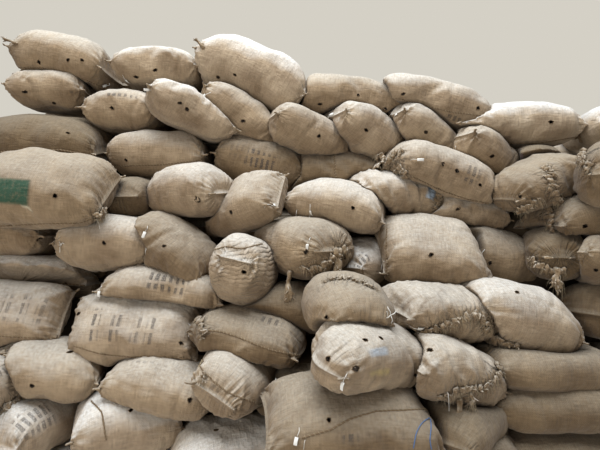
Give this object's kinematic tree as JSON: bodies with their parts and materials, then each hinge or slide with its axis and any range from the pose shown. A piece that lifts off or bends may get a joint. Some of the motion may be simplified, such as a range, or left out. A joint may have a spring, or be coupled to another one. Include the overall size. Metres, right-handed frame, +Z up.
{
  "type": "stack of sacks",
  "caption": "Tall, rough stack of plump filled jute sacks, stepped down to one side, with a lower heap of sacks leaning against its front. Stands on the floor.",
  "frame": {"origin": "on the floor, on the underside of the stack's hidden middle", "axes": "+X along the stack to the right as seen from its front, +Y from its front to its back, +Z up"},
  "size_m": [5.4847, 2.4463, 3.1113],
  "materials": {
    "jute": "coarse tan jute weave, dusty on top",
    "shaded_jute": "coarse tan jute weave"
  },
  "bodies": {
    "root": {"hidden_middle": "shaded_jute", "sack_row1_1": "jute", "sack_row1_2": "jute", "sack_row1_3": "jute", "sack_row2_1": "jute", "sack_row2_2": "jute", "sack_row2_3": "jute", "sack_row2_4": "jute", "sack_row2_5": "jute", "sack_row3_1": "jute", "sack_row3_2": "jute", "sack_row3_3": "jute", "sack_row3_4": "jute", "sack_row3_5": "jute", "sack_row4_1": "jute", "sack_row4_2": "jute", "sack_row4_3": "jute", "sack_row4_4": "jute", "sack_row4_5": "jute", "sack_row4_6": "jute", "sack_row5_1": "jute", "sack_row5_10": "jute", "sack_row5_2": "jute", "sack_row5_3": "jute", "sack_row5_4": "jute", "sack_row5_5": "jute", "sack_row5_6": "jute", "sack_row5_7": "jute", "sack_row5_8": "jute", "sack_row5_9": "jute", "sack_row6_1": "jute", "sack_row6_2": "jute", "sack_row6_3": "jute", "sack_row6_4": "jute", "sack_row6_5": "jute", "sack_row6_6": "jute", "sack_row6_7": "jute", "sack_row6_8": "jute", "sack_row6_9": "jute", "sack_row7_1": "jute", "sack_row7_2": "jute", "sack_row7_3": "jute", "sack_row7_4": "jute", "sack_row7_5": "jute", "sack_row8_1": "jute", "sack_row8_2": "jute", "sack_row8_3": "jute", "sack_row8_4": "jute", "sack_row8_5": "jute", "sack_row8_6": "jute", "sack_row8_7": "jute", "sack_row8_8": "jute", "sack_row8_9": "jute", "sack_row9_1": "jute", "sack_row9_2": "jute", "sack_row9_3": "jute", "sack_row9_4": "jute", "sack_row9_5": "jute", "sack_row9_6": "jute", "sack_row9_7": "jute"}
  },
  "joints": []
}
